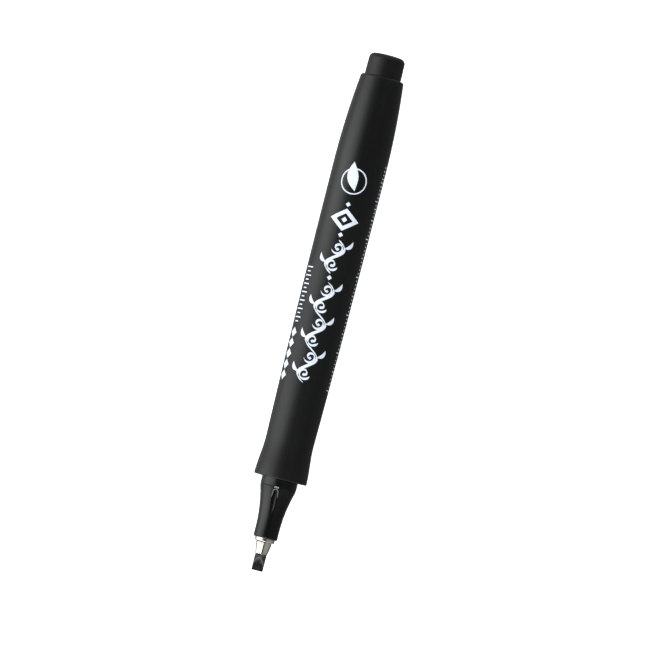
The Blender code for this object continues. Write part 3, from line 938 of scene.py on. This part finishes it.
def clear_film():
    """The thin clear film, smoky from the ink behind it and a little wrinkled from wrapping."""
    made, tree, shader = new_material("clear_film")
    wrinkles = grain(tree, 2.5 * MM, (6, 1, 1))
    base = mixed(tree, spread(tree, wrinkles, 0.0, 1.0), (0.022, 0.024, 0.028), (0.065, 0.070, 0.080))
    normal = bumped(tree, wrinkles, 0.05 * MM)
    feed(tree, shader, Base_Color=base, Roughness=spread(tree, wrinkles, 0.12, 0.22), Normal=normal)
    shader.inputs["Alpha"].default_value = 0.3
    return made


def print_ink():
    """Pale screen-printed ink, thinner in places."""
    made, tree, shader = new_material("print_ink")
    cover = grain(tree, 0.35 * MM, detail=5.0, rough=0.7)
    full = spread(tree, cover, 0.0, 1.0, at_low=0.28, at_high=0.5)
    base = mixed(tree, full, (0.36, 0.39, 0.45), (0.56, 0.61, 0.70))
    normal = bumped(tree, cover, 0.004 * MM)
    feed(tree, shader, Base_Color=base, Roughness=spread(tree, cover, 0.4, 0.55), Normal=normal)
    return made


def floor_white():
    """A plain pale studio table that glows a little, so that its shadows stay faint."""
    made, _, shader = new_material("floor_white")
    shader.inputs["Base Color"].default_value = (0.9, 0.9, 0.9, 1.0)
    shader.inputs["Roughness"].default_value = 1.0
    shader.inputs["Specular IOR Level"].default_value = 0.0
    shader.inputs["Emission Color"].default_value = (1.0, 1.0, 1.0, 1.0)
    shader.inputs["Emission Strength"].default_value = 0.75
    return made


# ---------------------------------------------------------------- studio

KEY_TURN = math.radians(68)  # the middle of the big soft light, from straight up towards +Y
KEY_ALONG = -0.2  # how far it leans towards the nib's end
KEY_SQUEEZE = 1.35  # how much narrower it is along the pen than across it
KEY_REACH = (0.66, 0.98)  # cosines of the angles from its middle where it starts and is full
KEY_GLOW = 2.55
FILL_GLOW = 0.17
TOP_GLOW = 0.06  # straight up, where the camera is
TOP_REACH = (0.90, 0.99)
END_GLOW = 0.4  # towards the pen's two ends
END_REACH = (0.5, 0.8)
TABLE_GLOW = 0.35  # what the lit side of the table adds from below
TABLE_REACH = (0.4, 1.0)
TABLE_HEADING = (0.0, 0.64, -0.77)
DAYLIGHT = (0.97, 1.0, 0.99, 1.0)


def make_floor():
    """The table, which the pen's glossy surfaces don't mirror."""
    work = bmesh.new()
    bmesh.ops.create_circle(work, cap_ends=True, segments=64, radius=6.0)
    floor = to_object(work, "floor", floor_white())
    floor.visible_glossy = False


def lobe(tree, heading, middle, glow, reach):
    """Light from round one direction; reach holds the cosines where it starts and is full."""
    facing = add_node(tree, "ShaderNodeVectorMath", {0: heading, 1: middle}, operation="DOT_PRODUCT")
    return spread(tree, facing.outputs["Value"], 0.0, glow, *reach, smooth=True)


def make_world():
    """Soft light from one side: the world glows round the key direction and is dim elsewhere, and the
    camera sees it as a plain pale backdrop."""
    world = bpy.data.worlds.new("studio")
    bpy.context.scene.world = world
    world.use_nodes = True
    world.cycles.sampling_method = "NONE"
    tree = world.node_tree
    heading = add_node(tree, "ShaderNodeTexCoord").outputs["Generated"]
    squeeze = {0: heading, 1: (KEY_SQUEEZE, 1.0, 1.0)}
    squeezed = add_node(tree, "ShaderNodeVectorMath", squeeze, operation="MULTIPLY").outputs["Vector"]
    squeezed = add_node(tree, "ShaderNodeVectorMath", {0: squeezed}, operation="NORMALIZE").outputs["Vector"]
    middle = Vector((KEY_ALONG, math.sin(KEY_TURN), math.cos(KEY_TURN))).normalized()
    glow = lobe(tree, squeezed, middle, KEY_GLOW, KEY_REACH)
    table = lobe(tree, heading, TABLE_HEADING, TABLE_GLOW, TABLE_REACH)
    parts = add_node(tree, "ShaderNodeSeparateXYZ", {0: heading}).outputs
    fill = spread(tree, parts["Z"], FILL_GLOW, TOP_GLOW, *TOP_REACH, smooth=True)
    along = add_node(tree, "ShaderNodeMath", {0: parts["X"]}, operation="ABSOLUTE").outputs["Value"]
    ends = spread(tree, along, 0.0, END_GLOW, *END_REACH, smooth=True)
    for other in (table, fill, ends):
        glow = add_node(tree, "ShaderNodeMath", {0: glow, 1: other}, operation="ADD").outputs["Value"]
    seen = add_node(tree, "ShaderNodeLightPath").outputs["Is Camera Ray"]
    level = add_node(tree, "ShaderNodeMapRange", {"Value": seen, "To Min": glow, "To Max": 1.0})
    tree.links.new(level.outputs["Result"], tree.nodes["Background"].inputs["Strength"])
    tree.nodes["Background"].inputs["Color"].default_value = DAYLIGHT


def aim(thing, target, up):
    """Turns a lamp or a camera to look at target with its top towards up."""
    forward = (target - thing.location).normalized()
    right = forward.cross(up).normalized()
    thing.rotation_mode = "QUATERNION"
    thing.rotation_quaternion = Matrix((right, right.cross(forward), -forward)).transposed().to_quaternion()


def add_lamp(name, heading, distance, size, power, glossy=True):
    """A rectangular lamp that faces the barrel's rim from a heading. The camera doesn't see it."""
    lamp = bpy.data.lights.new(name, "AREA")
    lamp.shape = "RECTANGLE"
    lamp.size, lamp.size_y = size
    lamp.energy = power
    holder = bpy.data.objects.new(name, lamp)
    bpy.context.scene.collection.objects.link(holder)
    target = Vector((TIP_X + RIM, 0.0, AXIS_Z))
    holder.location = target + distance * heading.normalized()
    aim(holder, target, Vector((1.0, 0.0, 0.1)))
    holder.visible_glossy = glossy
    holder.visible_camera = False


def make_lamps():
    """A diffuse-only overhead lamp lights the table, the print and the fibre evenly, and a small bright one
    beyond the nib puts a glint on the edges that face it."""
    above, ahead = Vector((0.0, 0.1, 1.0)), Vector((-0.9, 0.2, 0.42))
    add_lamp("overhead", above, distance=1.2, size=(1.6, 1.6), power=22.0, glossy=False)
    add_lamp("front", ahead, distance=0.8, size=(0.5, 0.2), power=2.2)
    add_card()


def add_card():
    """A small dim card beside the ferrule fills its far side."""
    along, across = 17.0 * MM, 60.0 * MM
    beside, above, ahead = 35.0 * MM, 20.0 * MM, 3.0 * MM
    radiance = 0.17
    card = bpy.data.lights.new("card", "AREA")
    card.shape = "RECTANGLE"
    card.size, card.size_y = across, along
    card.energy = radiance * math.pi * along * across
    holder = bpy.data.objects.new("card", card)
    bpy.context.scene.collection.objects.link(holder)
    holder.location = (TIP_X - ahead, -beside, AXIS_Z + above)
    aim(holder, Vector((TIP_X + FERRULE_FRONT, 0.0, AXIS_Z)), Vector((1.0, 0.0, 0.0)))
    holder.visible_camera = False


AXIS_LEAN = math.radians(14.3)  # of the pen from the picture's vertical
CAMERA_HEIGHT = 1.6
CAMERA_ALONG = -0.062
AIM_ALONG = -0.0034
AIM_ACROSS = -0.0023
LENS = 343.0


def make_camera():
    """A long lens high above the nib's end."""
    data = bpy.data.cameras.new("camera")
    data.sensor_width = 36.0
    data.lens = LENS
    data.clip_start = 0.1
    data.clip_end = 50.0
    camera = bpy.data.objects.new("camera", data)
    bpy.context.scene.collection.objects.link(camera)
    camera.location = (CAMERA_ALONG, 0.0, AXIS_Z + CAMERA_HEIGHT)
    up = Vector((math.cos(AXIS_LEAN), math.sin(AXIS_LEAN), 0.0))
    aim(camera, Vector((AIM_ALONG, AIM_ACROSS, AXIS_Z)), up)
    bpy.context.scene.camera = camera


# ---------------------------------------------------------------- assembly


def dress(piece, body):
    """Puts a piece on its CAD body."""
    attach(piece, body)


def main():
    """Makes every piece in its material, then the studio round them."""
    barrel_black, plug_black = barrel_plastic(), plug_plastic()
    section_black, painted_highlight_plastic = section_plastic(), vent_rim_painted_highlight()
    ink = print_ink()
    dress(make_barrel(barrel_black), "barrel")
    for make in (make_vine, make_diamond, make_roundel, make_border, make_scale):
        dress(make(ink), "barrel")
    dress(make_tail_plug(plug_black), "tail_plug")
    dress(make_section(section_black), "front_section")
    # The vent rims and stops take the material whose colour is a painted highlight.
    for make in (make_vent_rims, make_vent_stops):
        dress(make(painted_highlight_plastic), "front_section")
    dress(make_ferrule(ferrule_metal()), "front_section")
    dress(make_bush(white_bush()), "front_section")
    dress(make_nib(nib_fibre()), "nib")
    core, wrap = make_reservoir(inked_fibre(), clear_film())
    dress(core, "reservoir")
    dress(wrap, "reservoir")
    make_floor()
    make_world()
    make_lamps()
    make_camera()
    bpy.context.scene.view_settings.view_transform = "Standard"


main()
